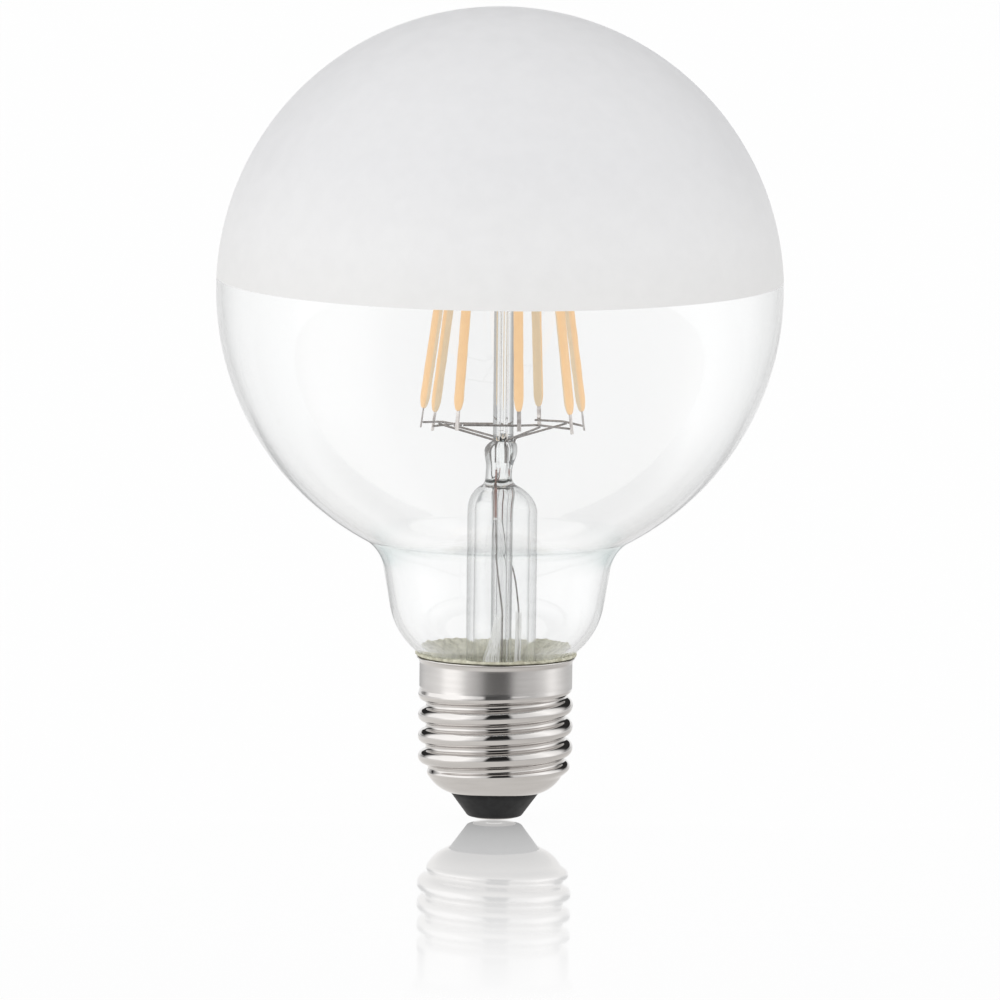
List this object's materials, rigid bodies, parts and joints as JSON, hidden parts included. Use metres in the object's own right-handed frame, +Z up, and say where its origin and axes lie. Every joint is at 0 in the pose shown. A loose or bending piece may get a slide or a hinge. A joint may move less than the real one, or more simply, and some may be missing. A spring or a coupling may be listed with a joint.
{
  "type": "globe filament lamp",
  "caption": "Globe light bulb: clear glass with a matte white upper dome, a screw cap with a rolled thread, a glass stem and a cage of upright orange LED filaments.",
  "frame": {"origin": "middle of the flat underside of the centre contact, the lowest face of the lamp", "axes": "+Z up along the lamp's axis, from the contact to the crown of the globe; -Y towards the picture's camera"},
  "size_m": [0.095, 0.095, 0.1364],
  "materials": {
    "clear_glass": "clear below the equator, matte white above",
    "stem_glass": "clear, smooth",
    "nickel_wire": "bright nickel",
    "phosphor": "orange phosphor in silicone",
    "copper_wire": "copper sheath",
    "glass_fibre": "frayed white glass fibre",
    "cap_plate": "rolled nickel plate",
    "contact_plate": "nickel plate",
    "insulator": "black glass-like plug",
    "cement": "greenish beige, rough",
    "circuit_board": "green solder resist",
    "capacitor_sleeve": "dark shrink sleeve",
    "chip_resin": "black resin"
  },
  "bodies": {
    "root": {"cap_cement": "cement", "cap_insulator": "insulator", "cap_shell": "cap_plate", "centre_contact": "contact_plate", "centre_post": "stem_glass", "contact_wire": "copper_wire", "driver_board": "circuit_board", "driver_chip": "chip_resin", "exhaust_tube": "stem_glass", "fibre_sleeve_left": "glass_fibre", "fibre_sleeve_right": "glass_fibre", "filament_1": "phosphor", "filament_1_lower_pin": "nickel_wire", "filament_1_upper_pin": "nickel_wire", "filament_2": "phosphor", "filament_2_lower_pin": "nickel_wire", "filament_2_upper_pin": "nickel_wire", "filament_3": "phosphor", "filament_3_lower_pin": "nickel_wire", "filament_3_upper_pin": "nickel_wire", "filament_4": "phosphor", "filament_4_lower_pin": "nickel_wire", "filament_4_upper_pin": "nickel_wire", "filament_5": "phosphor", "filament_5_lower_pin": "nickel_wire", "filament_5_upper_pin": "nickel_wire", "filament_6": "phosphor", "filament_6_lower_pin": "nickel_wire", "filament_6_upper_pin": "nickel_wire", "filament_7": "phosphor", "filament_7_lower_pin": "nickel_wire", "filament_7_upper_pin": "nickel_wire", "filament_8": "phosphor", "filament_8_lower_pin": "nickel_wire", "filament_8_upper_pin": "nickel_wire", "glass_globe": "clear_glass", "lead_wire_left": "nickel_wire", "lead_wire_right": "nickel_wire", "lower_bar_1": "nickel_wire", "lower_bar_2": "nickel_wire", "lower_bar_3": "nickel_wire", "lower_bar_4": "nickel_wire", "lower_support_1": "nickel_wire", "lower_support_2": "nickel_wire", "lower_support_3": "nickel_wire", "lower_support_4": "nickel_wire", "rectifier": "chip_resin", "seal_wire_left": "copper_wire", "seal_wire_right": "copper_wire", "shell_wire": "copper_wire", "smoothing_capacitor": "capacitor_sleeve", "stem_flare": "stem_glass", "upper_anchor_1": "nickel_wire", "upper_anchor_2": "nickel_wire", "upper_anchor_3": "nickel_wire", "upper_anchor_4": "nickel_wire", "upper_link_1": "nickel_wire", "upper_link_2": "nickel_wire", "upper_link_3": "nickel_wire", "upper_link_4": "nickel_wire"}
  },
  "joints": []
}
